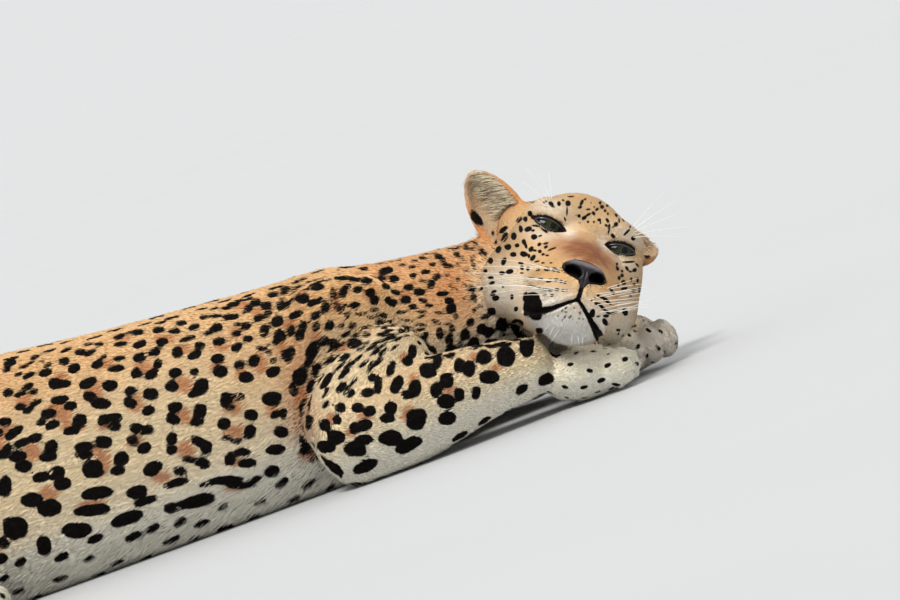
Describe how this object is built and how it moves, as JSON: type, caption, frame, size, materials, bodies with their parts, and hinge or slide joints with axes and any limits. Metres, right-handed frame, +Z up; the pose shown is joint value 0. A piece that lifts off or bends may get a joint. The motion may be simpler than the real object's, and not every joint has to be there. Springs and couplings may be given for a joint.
{
  "type": "leopard",
  "caption": "Life-size resting leopard, lying on its belly with forelegs folded, head turned and laid on the forepaws, hind legs tucked and long tail curled on the floor.",
  "frame": {"origin": "on the floor, at the middle of the chest's flat underside", "axes": "+X towards the head along the trunk, +Y the animal's left, +Z up"},
  "size_m": [1.4139, 0.5488, 0.2605],
  "materials": {
    "coat": "short dense fur, tawny with black rosettes",
    "nose_skin": "bare moist skin, near black",
    "eye": "wet and clear, yellow-green iris"
  },
  "bodies": {
    "root": {"eye_right": "eye", "eye_left": "eye", "nose": "nose_skin", "forepaw_right": "coat", "forearm_right": "coat", "forepaw_left": "coat", "forearm_left": "coat", "head": "coat", "ear_right": "coat", "ear_left": "coat", "upper_arm_right": "coat", "upper_arm_left": "coat", "hind_foot_right": "coat", "hind_foot_left": "coat", "shank_right": "coat", "shank_left": "coat", "thigh_right": "coat", "thigh_left": "coat", "neck": "coat", "torso": "coat", "tail_root": "coat", "tail_middle": "coat", "tail_tip": "coat"}
  },
  "joints": []
}
